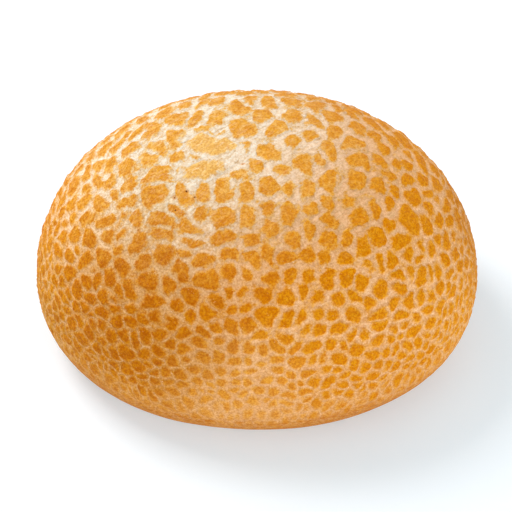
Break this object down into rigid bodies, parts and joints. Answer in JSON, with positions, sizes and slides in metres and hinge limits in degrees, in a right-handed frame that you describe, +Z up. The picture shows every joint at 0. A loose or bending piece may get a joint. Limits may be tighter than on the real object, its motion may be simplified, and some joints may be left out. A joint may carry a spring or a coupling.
{
  "type": "tiger bread roll",
  "caption": "Oval baked roll with a high domed top, a rounded belly, a flat base and a crackled, tiger-patterned crust.",
  "frame": {"origin": "middle of the flat base, on the surface that the roll rests on", "axes": "+X along the roll's length, +Y across it away from the viewer, +Z up"},
  "size_m": [0.105, 0.09, 0.056],
  "materials": {
    "crust": "matte, slightly satin on the islands of the crust"
  },
  "bodies": {
    "root": {"tiger_roll": "crust"}
  },
  "joints": []
}
